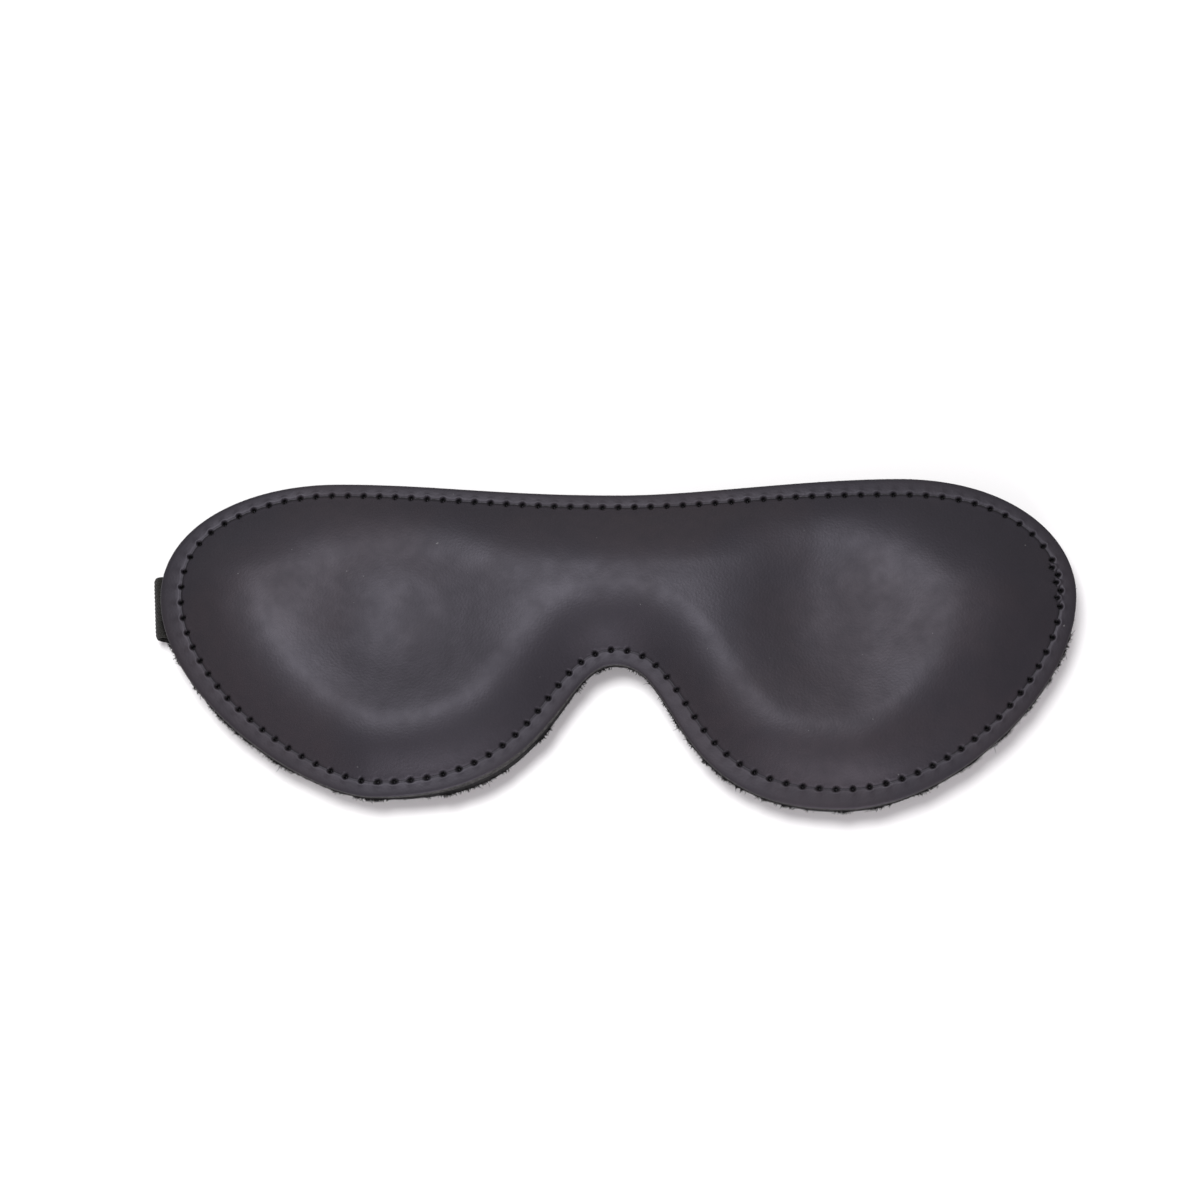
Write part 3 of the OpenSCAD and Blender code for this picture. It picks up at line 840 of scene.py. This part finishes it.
def make_strap(material):
    """All the elastic, in pieces: some ride on one body each, and the rest are left in place on no body."""
    bar, loop = OUTER_BAR_W / 2, MIDDLE_BAR_W / 2 + STRAP_T
    left, right = SLIDER_X - WAVE_REACH, SLIDER_X + WAVE_REACH
    second_over = OVER_BAR + STRAP_T + LAYER_GAP
    loop_z = MIDDLE_BAR_Z + BAR_T / 2
    split = (LEFT_CUT + left) / 2
    fold_x = left_low[0] - FOLD_OUT

    def aslant(points):
        share = smooth01((LEFT_CUT - points[..., 0]) / (LEFT_CUT - fold_x - FOLD_INNER))
        points[..., 0] += LEFT_SKEW * share * (points[..., 1] - STRAP_Y)
        points[..., 1] += FOLD_UP * share

    end_left = make_band("strap_end_left_elastic", end_line(fold_x, -1, LEFT_CUT), material, aslant)
    end_right = make_band("strap_end_right_elastic", end_line(right_high[0], 1, RIGHT_CUT), material)
    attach(end_left, "mask")
    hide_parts("strap_end_left")
    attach(end_right, "mask")
    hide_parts("strap_end_right")

    outer = make_band("long_strap_outer", np.array([[LEFT_CUT, LOW_Z], [split, LOW_Z]]), material)
    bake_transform(outer)
    inner = make_band("long_strap_inner", np.array([[split, LOW_Z], [left, LOW_Z]]), material)
    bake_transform(inner)

    wave = np.vstack(
        [
            slope_line(left, LOW_Z, SLIDER_X - OUTER_BAR_X - bar, OVER_BAR),
            slope_line(SLIDER_X - OUTER_BAR_X + bar, OVER_BAR, SLIDER_X - loop, LOW_Z),
            slope_line(SLIDER_X + loop, LOW_Z, SLIDER_X + OUTER_BAR_X - bar, OVER_BAR),
            slope_line(SLIDER_X + OUTER_BAR_X + bar, OVER_BAR, right, LOW_Z),
        ]
    )
    threaded = make_band("long_strap_in_slider", wave, material)
    sewn = np.vstack(
        [
            slope_line(right, SECOND_Z, SLIDER_X + OUTER_BAR_X + bar, second_over),
            slope_line(SLIDER_X + OUTER_BAR_X - bar, second_over, SLIDER_X + loop, loop_z + LOOP_R),
            turn_line(SLIDER_X - MIDDLE_BAR_W / 2 + BAR_T / 2, loop_z, LOOP_R, 90, 270),
            [[SLIDER_X + MIDDLE_BAR_W / 2, loop_z - LOOP_R]],
        ]
    )
    looped = make_band("long_strap_sewn_loop", sewn, material)
    for piece in (threaded, looped):
        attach(piece, "slider")

    wire_x = RING_X - RING_BAR
    double = np.vstack(
        [
            [[right, LOW_Z]],
            turn_line(wire_x, RING_Z, RING_TURN, -90, 90),
            slope_line(wire_x - LOOP_FLAT, RING_Z + RING_TURN, wire_x - LOOP_END, SECOND_Z),
            [[right, SECOND_Z]],
        ]
    )
    doubled = make_band("long_strap_doubled", double, material)
    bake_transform(doubled)
    for piece in (outer, inner, threaded, looped, doubled):
        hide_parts("long_strap")

    wire_x = RING_X + RING_BAR
    short = np.vstack(
        [
            [[RIGHT_CUT, LOW_Z]],
            turn_line(wire_x, RING_Z, RING_TURN, 270, 90),
            slope_line(wire_x + LOOP_FLAT, RING_Z + RING_TURN, wire_x + LOOP_END, SECOND_Z),
            [[wire_x + SHORT_TAIL, SECOND_Z]],
        ]
    )
    short_piece = make_band("short_strap_elastic", short, material)
    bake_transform(short_piece)
    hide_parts("short_strap")


# ---------------------------------------------------------------- hardware
RING_CORNER = 1.0
RING_SIDES = 24
SLIDER_SLACK = 1
RAIL_W = 2.0
RAIL_ROUND = 0.5
OUTER_BAR_ROUND = 0.35
MIDDLE_BAR_ROUND = 0.57
SLIDER_SOFT = 0.2


def make_ring(material):
    """The ring: bent wire with rounded corners."""
    x, y = RING_BAR, (ring_high[1] - ring_low[1]) / 2 - WIRE_D / 2
    corner = RING_CORNER + WIRE_D / 2
    path = []
    for k in range(4):
        cx, cy = (x - corner) * (1, -1, -1, 1)[k], (y - corner) * (1, 1, -1, -1)[k]
        a = np.radians(np.linspace(90 * k, 90 * k + 90, 13))
        path += [(RING_X + cx + corner * math.cos(t), STRAP_Y + cy + corner * math.sin(t), RING_Z) for t in a]
    path = np.array(path)
    ahead = np.roll(path, -1, axis=0) - np.roll(path, 1, axis=0)
    ahead /= np.linalg.norm(ahead, axis=1)[:, None]
    side = np.column_stack([ahead[:, 1], -ahead[:, 0], np.zeros(len(path))])
    angle = np.arange(RING_SIDES) / RING_SIDES * 2 * math.pi
    ring = side[:, None] * np.cos(angle)[:, None] + np.array([0, 0, 1.0]) * np.sin(angle)[:, None]
    points = (path[:, None] + WIRE_D / 2 * ring).reshape(-1, 3)
    number = np.arange(len(points)).reshape(len(path), RING_SIDES)
    a, b = number, np.roll(number, -1, axis=0)
    faces = np.stack([a, b, np.roll(b, -1, axis=1), np.roll(a, -1, axis=1)], axis=-1).reshape(-1, 4).tolist()
    return add_mesh("ring_wire", points, faces, material)


def rounded_box(centre, size, radius):
    """A box whose edges along Y are rounded."""
    bm = bmesh.new()
    bmesh.ops.create_cube(bm, size=MM)
    bmesh.ops.scale(bm, vec=size, verts=bm.verts)
    along_y = [e for e in bm.edges if abs(e.verts[0].co.y - e.verts[1].co.y) > MM]
    bmesh.ops.bevel(bm, geom=along_y, offset=radius * MM, segments=6, profile=0.5, affect="EDGES")
    bmesh.ops.translate(bm, vec=Vector(centre) * MM, verts=bm.verts)
    mesh = bpy.data.meshes.new("bar")
    bm.to_mesh(mesh)
    bm.free()
    box = bpy.data.objects.new("bar", mesh)
    bpy.context.scene.collection.objects.link(box)
    return box


def make_slider(material):
    """The slider: two rails and three bars, moulded in one piece with soft edges."""
    inner = STRAP_W + SLIDER_SLACK
    length = slider_high[0] - slider_low[0]
    low, high = slider_low[2], slider_high[2]
    parts = []
    for side in (-1, 1):
        rail_centre = (SLIDER_X, STRAP_Y + side * (inner + RAIL_W) / 2, (low + high) / 2)
        parts.append(rounded_box(rail_centre, (length, RAIL_W, high - low), RAIL_ROUND))
        bar_centre = (SLIDER_X + side * OUTER_BAR_X, STRAP_Y, low + BAR_T / 2)
        parts.append(rounded_box(bar_centre, (OUTER_BAR_W, inner + RAIL_W, BAR_T), OUTER_BAR_ROUND))
    middle_centre = (SLIDER_X, STRAP_Y, high - BAR_T / 2)
    parts.append(rounded_box(middle_centre, (MIDDLE_BAR_W, inner + RAIL_W, BAR_T), MIDDLE_BAR_ROUND))
    slider = parts[0]
    slider.name = "slider_moulding"
    for part in parts[1:]:
        join = slider.modifiers.new("join", "BOOLEAN")
        join.operation, join.solver, join.object = "UNION", "EXACT", part
    apply_modifiers(slider)
    for part in parts[1:]:
        bpy.data.objects.remove(part, do_unlink=True)
    soften = slider.modifiers.new("soft edges", "BEVEL")
    soften.width, soften.segments = SLIDER_SOFT * MM, 3
    soften.limit_method, soften.angle_limit = "ANGLE", math.radians(50)
    apply_modifiers(slider)
    slider.data.materials.clear()
    slider.data.materials.append(material)
    slider.data.shade_smooth()
    return slider


# ---------------------------------------------------------------- loose fibres
FIBRES = {  # how many, the shortest and longest, and the thickness at the root
    "nap": (5200, 0.15, 0.45, 0.06),
    "tufts": (90, 0.35, 0.95, 0.09),
    "hairs": (22, 0.9, 1.9, 0.06),
}
EDGE_PLACES = 5000
TUFT_SPREAD = 9  # in places along the edge
TUFT_FIBRES = (10, 34)
FRAYED_BELOW = 7  # fibres are many below this y, and above it only a share as many
BROW_SHARE = 0.06
FIBRE_POINTS = 6
LEAN = 0.6
CURL = 1.0


def make_fibres(material):
    """Fibres of the split suede that stick out along its cut edge: a short nap, most of it along the lower
    edge, tufts of fibres here and there, and a few long hairs."""
    rng = np.random.default_rng(11)
    points, headings = spaced(whole_loop(0), EDGE_PLACES)
    outward = left_of(headings)
    lower = points[:, 1] < FRAYED_BELOW
    weight = np.where(lower, 1.0, BROW_SHARE)
    low_weight = np.where(lower, weight, 0) / weight[lower].sum()
    nap = rng.choice(len(points), FIBRES["nap"][0], p=weight / weight.sum())
    tuft_at = rng.choice(len(points), FIBRES["tufts"][0], p=low_weight)
    spread = [rng.normal(0, TUFT_SPREAD, rng.integers(*TUFT_FIBRES)).astype(int) for _ in tuft_at]
    tufts = [(at + near) % len(points) for at, near in zip(tuft_at, spread)]
    hairs = rng.choice(len(points), FIBRES["hairs"][0], p=low_weight)
    kinds = {"nap": nap, "tufts": np.concatenate(tufts), "hairs": hairs}
    pick = np.concatenate(list(kinds.values()))
    length = np.concatenate([rng.uniform(*FIBRES[kind][1:3], len(at)) for kind, at in kinds.items()])
    thick = np.concatenate([np.full(len(at), FIBRES[kind][3]) for kind, at in kinds.items()])
    lean, curl = rng.normal(0, LEAN, len(pick)), rng.normal(0, CURL, len(pick))
    u = np.linspace(0, 1, FIBRE_POINTS)
    angle = lean[:, None] + curl[:, None] * u
    step = length[:, None] / (FIBRE_POINTS - 1)
    along = np.cumsum(np.sin(angle) * step, axis=1)
    start = (0.55 + 0.45 * rng.uniform(0, 1, len(pick))) * frayed(points)[pick] - 0.15
    out = start[:, None] + np.cumsum(np.cos(angle) * step, axis=1)
    flat = points[pick][:, None] + headings[pick][:, None] * along[..., None]
    flat = flat + outward[pick][:, None] * out[..., None]
    root_z = RIM_Z + rng.uniform(0.05, 1.0, len(pick))[:, None]
    z = root_z + rng.normal(-0.1, 0.35, len(pick))[:, None] * length[:, None] * u**2
    paths = np.concatenate([flat, z[..., None]], axis=2)
    fibre_points, faces = tubes(paths, thick[:, None] * (1 - 0.6 * u), 4)
    return add_mesh("lining_edge_fibres", fibre_points, faces, material)


# ---------------------------------------------------------------- materials
class Shader:
    """A material's node tree, with short ways to add and join nodes."""

    def __init__(self, name, **values):
        self.material = bpy.data.materials.new(name)
        self.material.use_nodes = True
        self.tree = self.material.node_tree
        self.surface = self.tree.nodes["Principled BSDF"]
        for socket, value in values.items():
            self.surface.inputs[socket.replace("_", " ")].default_value = value

    def add(self, kind, settings=None, *in_order, **by_name):
        """A new node, with values or other nodes' sockets for its inputs."""
        node = self.tree.nodes.new("ShaderNode" + kind)
        for key, value in (settings or {}).items():
            setattr(node, key, value)
        for key, value in (*enumerate(in_order), *by_name.items()):
            self.feed(node.inputs[key], value)
        return node

    def feed(self, socket, value):
        """Join a socket to another, or set it to a constant."""
        if isinstance(value, bpy.types.NodeSocket):
            self.tree.links.new(value, socket)
        else:
            socket.default_value = value

    def place(self):
        return self.add("TexCoord").outputs["Object"]

    def noise(self, vector, scale, detail=3.0, roughness=0.5):
        node = self.add("TexNoise", Vector=vector, Scale=scale, Detail=detail, Roughness=roughness)
        return node.outputs["Fac"]

    def ramp(self, value, low, high, out_low, out_high):
        """out_low where value is low, out_high where it is high, and a smooth step between."""
        smooth = {"interpolation_type": "SMOOTHSTEP"}
        return self.add("MapRange", smooth, value, low, high, out_low, out_high).outputs[0]

    def maths(self, operation, a, b=0.0):
        return self.add("Math", {"operation": operation}, a, b).outputs[0]

    def mix(self, share, a, b):
        """A share of colour b in colour a. The node's sockets for colours come after those for numbers."""
        node = self.add("Mix", {"data_type": "RGBA"}, Factor=share)
        self.feed(node.inputs[6], a)
        self.feed(node.inputs[7], b)
        return node.outputs[2]

    def tones(self, value, low, high, a, b, most=1):
        """Colour a where value is low, turning to b where it is high, at most by a share of most."""
        return self.mix(self.ramp(value, low, high, 0, most), a, b)

    def bump(self, height, distance, strength=1.0, normal=None):
        node = self.add("Bump", Height=height, Distance=distance, Strength=strength)
        if normal is not None:
            self.tree.links.new(normal, node.inputs["Normal"])
        return node.outputs["Normal"]

    def set(self, socket, value):
        self.tree.links.new(value, self.surface.inputs[socket])


def grey(v, warm=0.0, blue=0.0):
    """A grey of brightness v with a share more red or blue in it."""
    return (v * (1 + warm), v, v * (1 + blue), 1.0)


def leather():
    """Smooth black leather: fine pores, faint patches, a few pale specks, and shade painted into the stitch
    holes and along the seam's groove.
    """
    s = Shader("black_leather", IOR=1.48, Specular_IOR_Level=0.5)
    s.surface.inputs["Specular Tint"].default_value = (0.9, 0.86, 1.0, 1)
    at = s.place()
    patches = s.noise(at, 28)
    fine = s.noise(at, 320, 4.0)
    colour = s.tones(patches, 0.42, 0.66, grey(0.009, 0.14, 0.3), grey(0.011, 0.3, 0.16))
    colour = s.tones(fine, 0.35, 0.7, colour, grey(0.006, 0.12, 0.28), most=0.35)
    specks = s.noise(at, 900, 1.0)
    colour = s.tones(specks, 0.8, 0.84, colour, grey(0.16), most=0.5)
    painted_seam_shade = s.add("Attribute", {"attribute_name": "painted_seam_shade"}).outputs["Fac"]
    # painted shade: near black in the stitch holes and along the seam's groove
    s.set("Base Color", s.tones(painted_seam_shade, 0.1, 0.6, colour, grey(0.001)))
    smear = s.noise(at, 60, 4.0)
    s.set("Roughness", s.ramp(s.maths("ADD", smear, s.maths("MULTIPLY", fine, 0.3)), 0.35, 0.95, 0.49, 0.62))
    pores = s.add("TexVoronoi", {"feature": "F1"}, Vector=at, Scale=1500.0).outputs["Distance"]
    creases = s.noise(at, 1900, 5.0, 0.6)
    grain = s.maths("ADD", s.maths("MULTIPLY", pores, 0.6), creases)
    s.set("Normal", s.bump(grain, 0.00006, 0.5, s.bump(s.noise(at, 220), 0.0001, 0.35)))
    return s.material


def cut_leather():
    s = Shader("leather_cut_edge", Roughness=0.85)
    at = s.place()
    fibres = s.noise(at, 1400, 5.0, 0.7)
    s.set("Base Color", s.tones(fibres, 0.35, 0.7, grey(0.012), grey(0.05, 0.05)))
    s.set("Normal", s.bump(fibres, 0.0002, 0.9))
    return s.material


def suede():
    s = Shader("black_suede", Sheen_Weight=0.12, Sheen_Roughness=0.45, Specular_IOR_Level=0.15)
    s.surface.inputs["Sheen Tint"].default_value = (0.5, 0.5, 0.53, 1)
    at = s.place()
    nap = s.noise(at, 55, 4.0, 0.6)
    fuzz = s.noise(at, 1600, 6.0, 0.75)
    colour = s.tones(nap, 0.35, 0.68, grey(0.007, 0.0, 0.06), grey(0.017, 0.04, 0.03))
    s.set("Base Color", s.tones(fuzz, 0.4, 0.7, colour, grey(0.03), most=0.5))
    s.set("Roughness", s.ramp(fuzz, 0.3, 0.7, 0.82, 1.0))
    s.set("Normal", s.bump(fuzz, 0.00035, 0.8, s.bump(nap, 0.0006, 0.3)))
    return s.material


def fibre():
    s = Shader("suede_fibre", Roughness=0.85, Specular_IOR_Level=0.15)
    tone = s.noise(s.place(), 700, 2.0)
    s.set("Base Color", s.tones(tone, 0.35, 0.65, grey(0.003), grey(0.012, 0.02)))
    s.set("Normal", s.bump(tone, 0.0001, 0.4))
    return s.material


def thread():
    s = Shader("black_thread", Specular_IOR_Level=0.25)
    at = s.place()
    ply = s.noise(at, 2600, 3.0, 0.6)
    s.set("Base Color", s.tones(ply, 0.35, 0.7, grey(0.002), grey(0.01)))
    s.set("Roughness", s.ramp(ply, 0.3, 0.7, 0.5, 0.75))
    s.set("Normal", s.bump(ply, 0.00012, 0.8))
    return s.material


def elastic():
    """Black elastic, with ribs along the band and picks across it, placed by the band's own coordinates."""
    s = Shader("woven_elastic", Sheen_Weight=0.08, Sheen_Roughness=0.5, Specular_IOR_Level=0.2)
    at = s.add("Attribute", {"attribute_name": "weave"}).outputs["Vector"]
    parts = s.add("SeparateXYZ", Vector=at)
    run, across = parts.outputs[0], parts.outputs[1]
    column = s.maths("FLOOR", s.maths("DIVIDE", across, RIB / 2))
    shifted = s.maths("ADD", s.maths("DIVIDE", run, WEFT), s.maths("MULTIPLY", column, 0.5))
    pick = s.maths("SINE", s.maths("MULTIPLY", shifted, 2 * math.pi))
    warp = s.maths("COSINE", s.maths("MULTIPLY", across, 4 * math.pi / RIB))
    knit = s.maths("ADD", s.maths("MULTIPLY", pick, 0.5), s.maths("MULTIPLY", warp, 0.5))
    hairs = s.noise(at, 3.2, 5.0, 0.7)
    worn = s.noise(at, 0.25)
    colour = s.tones(knit, -0.8, 0.9, grey(0.003), grey(0.014, 0.02, -0.2))
    colour = s.tones(worn, 0.45, 0.75, colour, grey(0.022, 0.04, -0.25), most=0.35)
    s.set("Base Color", s.tones(hairs, 0.66, 0.84, colour, grey(0.05), most=0.4))
    s.set("Roughness", s.ramp(hairs, 0.3, 0.8, 0.72, 0.95))
    s.set("Normal", s.bump(s.maths("ADD", knit, hairs), 0.00012, 0.8))
    return s.material


def steel():
    s = Shader("nickel_wire", Metallic=1.0)
    at = s.place()
    wear = s.noise(at, 400, 5.0, 0.6)
    s.set("Base Color", s.tones(wear, 0.4, 0.7, (0.62, 0.6, 0.57, 1), (0.5, 0.49, 0.48, 1)))
    s.set("Roughness", s.ramp(wear, 0.3, 0.75, 0.16, 0.38))
    s.set("Normal", s.bump(s.noise(at, 1800), 0.00002, 0.5))
    return s.material


def plastic():
    s = Shader("moulded_plastic", Specular_IOR_Level=0.45)
    at = s.place()
    texture = s.noise(at, 1500)
    rub = s.noise(at, 180, 4.0)
    s.set("Base Color", s.tones(rub, 0.45, 0.7, grey(0.018), grey(0.03)))
    s.set("Roughness", s.ramp(rub, 0.3, 0.7, 0.36, 0.55))
    s.set("Normal", s.bump(texture, 0.00003, 0.6))
    return s.material


def foam():
    s = Shader("open_cell_foam", Roughness=0.95)
    at = s.place()
    cells = s.add("TexVoronoi", {"feature": "DISTANCE_TO_EDGE"}, Vector=at, Scale=1100.0).outputs["Distance"]
    s.set("Base Color", s.tones(cells, 0.0, 0.25, grey(0.14), grey(0.06)))
    s.set("Normal", s.bump(cells, 0.0004, 0.9))
    return s.material


# ---------------------------------------------------------------- build
LEATHER, CUT, SUEDE, FIBRE, THREAD = leather(), cut_leather(), suede(), fibre(), thread()
ELASTIC, STEEL, PLASTIC, FOAM = elastic(), steel(), plastic(), foam()


def put(piece, body, slot, *nodes):
    """The piece rides on a body and stands for the CAD nodes, which are hidden. slot is not used."""
    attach(piece, body)
    if nodes:
        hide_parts(*nodes)
    return piece


front = put(make_front_panel([LEATHER, CUT]), "mask", "leather", "front_panel")
lining = put(make_back_lining([SUEDE, SUEDE]), "mask", "suede", "back_lining")
foam_pad = put(make_foam(FOAM), "mask", "foam", "foam_core")
front_thread = make_seam("seam_front_thread", FRONT_Z - FRONT_THREAD_IN, 1, THREAD)
put(front_thread, "mask", "thread", "rim_stitches_front")
back_thread = make_seam("seam_back_thread", RIM_Z + BACK_THREAD_IN, -1, THREAD)
put(back_thread, "mask", "thread", "rim_stitches_back")
put(make_fibres(FIBRE), "mask", "suede")
make_strap(ELASTIC)
put(make_ring(STEEL), "strap", "steel", "ring")
put(make_slider(PLASTIC), "slider", "plastic", "slider")


def put_tack(node, body, x, z, sign):
    put(make_tack(node + "_thread", x, z, sign, THREAD), body, "thread", node)


under_end = END_Z - STRAP_T / 2
put_tack("end_tack_left", "mask", left_low[0] + END_TACK_IN, under_end, -1)
put_tack("end_tack_right", "mask", right_high[0] - END_TACK_IN, under_end, -1)
put_tack("ring_tack", "strap", RING_X + RING_BAR + RING_TACK_OUT, SECOND_Z + STRAP_T / 2, 1)
put_tack("slider_tack", "slider", SLIDER_X + OUTER_BAR_X, OVER_BAR + STRAP_T * 1.5 + LAYER_GAP, 1)


def outline_area():
    """The area inside the outline, in square metres."""
    loop = whole_loop(0)
    x, y = loop[:, 0], loop[:, 1]
    return abs((x[:-1] * y[1:] - x[1:] * y[:-1]).sum()) / 2 * MM * MM


# Both sheets are stretched over the padding, so each is a little larger than the outline. These areas are
# worked out here but not kept or used.
outline_area() * 1.06
outline_area() * 1.05


# ---------------------------------------------------------------- floor, light and camera
FLOOR_HALF = 3  # metres


def make_floor():
    corners = [(x * FLOOR_HALF, y * FLOOR_HALF, 0) for x, y in ((-1, -1), (1, -1), (1, 1), (-1, 1))]
    mesh = bpy.data.meshes.new("floor")
    mesh.from_pydata(corners, [], [(0, 1, 2, 3)])
    floor = bpy.data.objects.new("floor", mesh)
    bpy.context.scene.collection.objects.link(floor)
    s = Shader("pale_floor", Roughness=0.7)
    tone = s.noise(s.place(), 12)
    s.set("Base Color", s.tones(tone, 0.3, 0.7, (0.9, 0.9, 0.9, 1), (0.88, 0.88, 0.885, 1)))
    mesh.materials.append(s.material)


def add_light(name, place, size, power, colour=(1, 1, 1)):
    """A round soft light that shines at the mask. Place and size are in metres, power in watts."""
    data = bpy.data.lights.new(name, "AREA")
    data.shape, data.size, data.energy, data.color = "DISK", size, power, colour
    light = bpy.data.objects.new(name, data)
    light.location = place
    light.rotation_euler = (-Vector(place)).to_track_quat("-Z", "Y").to_euler()
    bpy.context.scene.collection.objects.link(light)


def add_camera():
    """The camera looks down at the mask from the cheek side, a little from the right, and is rolled."""
    azimuth, elevation, roll = math.radians(12.87), math.radians(75.34), math.radians(-12.3)
    distance = 0.5
    level = math.cos(elevation)
    back = Vector((math.sin(azimuth) * level, -math.cos(azimuth) * level, math.sin(elevation)))
    right = Vector((math.cos(azimuth), math.sin(azimuth), 0))
    up = back.cross(right)
    rolled_right = right * math.cos(roll) + up * math.sin(roll)
    rolled_up = up * math.cos(roll) - right * math.sin(roll)
    data = bpy.data.cameras.new("camera")
    data.sensor_width, data.lens = 36, 64.0
    data.shift_x, data.shift_y = -0.0135, 0.0339
    camera = bpy.data.objects.new("camera", data)
    turn = Matrix((rolled_right, rolled_up, back)).transposed().to_4x4()
    camera.matrix_world = Matrix.Translation(Vector((0, 0, FRONT_Z * MM)) + back * distance) @ turn
    bpy.context.scene.collection.objects.link(camera)
    bpy.context.scene.camera = camera


make_floor()
add_camera()
add_light("softbox", place=(-0.11, 0.15, 0.68), size=0.34, power=4.3)
add_light("low fill", place=(0.15, -1.0, 0.42), size=0.8, power=8, colour=(1, 0.95, 0.985))
world = bpy.data.worlds.new("studio")
world.use_nodes = True
background = world.node_tree.nodes["Background"]
background.inputs["Color"].default_value = (1, 0.955, 0.98, 1)
background.inputs["Strength"].default_value = 0.41
bpy.context.scene.world = world
bpy.context.scene.view_settings.view_transform = "Standard"
